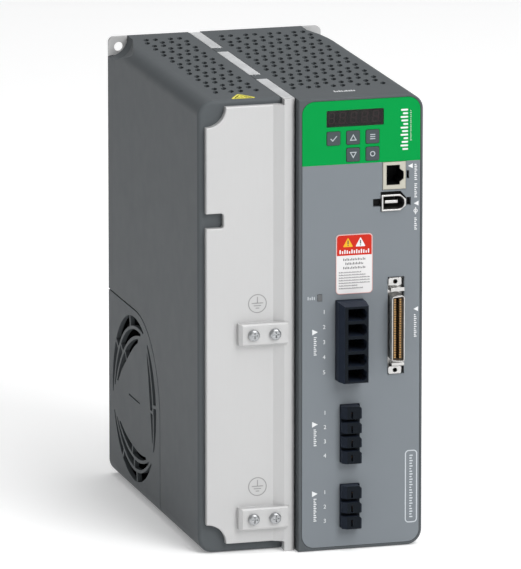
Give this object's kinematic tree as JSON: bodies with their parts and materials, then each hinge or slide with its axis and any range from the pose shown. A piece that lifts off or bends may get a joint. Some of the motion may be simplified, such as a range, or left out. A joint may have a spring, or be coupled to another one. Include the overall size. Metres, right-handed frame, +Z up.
{
  "type": "servo drive",
  "caption": "Panel-mounted servo drive with finned heat sink, side fan, keypad with display and front power, motor and signal connectors.",
  "frame": {"origin": "centre of the bounding box in plan, at the underside", "axes": "+Z up, terminals face -Y, +X to the right of someone who looks at the terminals"},
  "size_m": [0.1174, 0.2026, 0.2393],
  "materials": {
    "housing_plastic": "fine textured dark grey",
    "cast_aluminium": "matt light grey",
    "heat_sink_aluminium": "extruded",
    "panel_plastic": "smooth light grey",
    "bezel_green": "smooth",
    "key_plastic": "smooth",
    "tinted_window": "glossy tinted",
    "terminal_plastic": "moulded",
    "ivory_plastic": "moulded",
    "black_plastic": "moulded",
    "brown_plastic": "moulded",
    "bright_steel": "plated",
    "dark_steel": "zinc plated, worn",
    "gold_contact": "plated",
    "board_green": "solder resist",
    "component_black": "moulded package",
    "ferrite": "sintered",
    "copper": "enamelled winding",
    "label_white": "printed film",
    "label_yellow": "printed film",
    "relay_plastic": "moulded",
    "lens_clear": "clear light guide"
  },
  "bodies": {
    "chassis": {"back_plate": "cast_aluminium", "left_housing": "housing_plastic", "right_housing": "housing_plastic", "heat_sink": "heat_sink_aluminium", "earth_plate": "cast_aluminium", "earth_screws": "dark_steel", "rear_screws": "bright_steel", "fan_cover": "housing_plastic", "fan_frame": "black_plastic", "fan_stator": "copper", "fan_screws": "bright_steel", "front_panel": "panel_plastic", "keypad_bezel": "bezel_green", "display_window": "tinted_window", "display_module": "component_black", "keypad_board": "board_green", "keypad_board_screws": "bright_steel", "key_switches": "component_black", "charge_lens": "lens_clear", "warning_label": "label_white", "hot_surface_label": "label_yellow", "mains_terminal": "terminal_plastic", "mains_contacts": "gold_contact", "motor_terminal": "terminal_plastic", "motor_contacts": "gold_contact", "resistor_terminal": "terminal_plastic", "resistor_contacts": "gold_contact", "network_jack": "ivory_plastic", "network_contacts": "gold_contact", "encoder_shell": "bright_steel", "encoder_body": "black_plastic", "io_shell": "bright_steel", "io_insert": "brown_plastic", "io_contacts": "gold_contact", "encoder_contacts": "bright_steel", "io_screw_locks": "bright_steel", "power_board": "board_green", "power_standoffs": "bright_steel", "power_board_screws": "bright_steel", "control_board": "board_green", "control_standoffs": "bright_steel", "control_board_screws": "bright_steel", "power_module": "component_black", "rectifier": "component_black", "link_capacitors": "component_black", "mains_choke": "copper", "choke_base": "component_black", "soft_start_relays": "relay_plastic", "transformer_core": "ferrite", "transformer_coil": "copper", "current_sensors": "component_black", "brake_resistor": "heat_sink_aluminium", "control_chips": "component_black", "board_link": "component_black"},
    "fan": {"fan_rotor": "black_plastic"},
    "key_ok_body": {"key_ok": "key_plastic"},
    "key_up_body": {"key_up": "key_plastic"},
    "key_mode_body": {"key_mode": "key_plastic"},
    "key_down_body": {"key_down": "key_plastic"},
    "key_shift_body": {"key_shift": "key_plastic"}
  },
  "joints": [
    {"name": "fan_spin", "type": "hinge", "parent": "chassis", "child": "fan", "pos_m": [-0.0425, 0.04875, 0.053], "axis": [1, 0, 0], "continuous": true},
    {"name": "key_ok_press", "type": "slide", "parent": "chassis", "child": "key_ok_body", "axis": [0, 1, 0], "range_m": [0, 0.0005], "stiffness_N_per_m": 600},
    {"name": "key_up_press", "type": "slide", "parent": "chassis", "child": "key_up_body", "axis": [0, 1, 0], "range_m": [0, 0.0005], "stiffness_N_per_m": 600},
    {"name": "key_mode_press", "type": "slide", "parent": "chassis", "child": "key_mode_body", "axis": [0, 1, 0], "range_m": [0, 0.0005], "stiffness_N_per_m": 600},
    {"name": "key_down_press", "type": "slide", "parent": "chassis", "child": "key_down_body", "axis": [0, 1, 0], "range_m": [0, 0.0005], "stiffness_N_per_m": 600},
    {"name": "key_shift_press", "type": "slide", "parent": "chassis", "child": "key_shift_body", "axis": [0, 1, 0], "range_m": [0, 0.0005], "stiffness_N_per_m": 600}
  ]
}
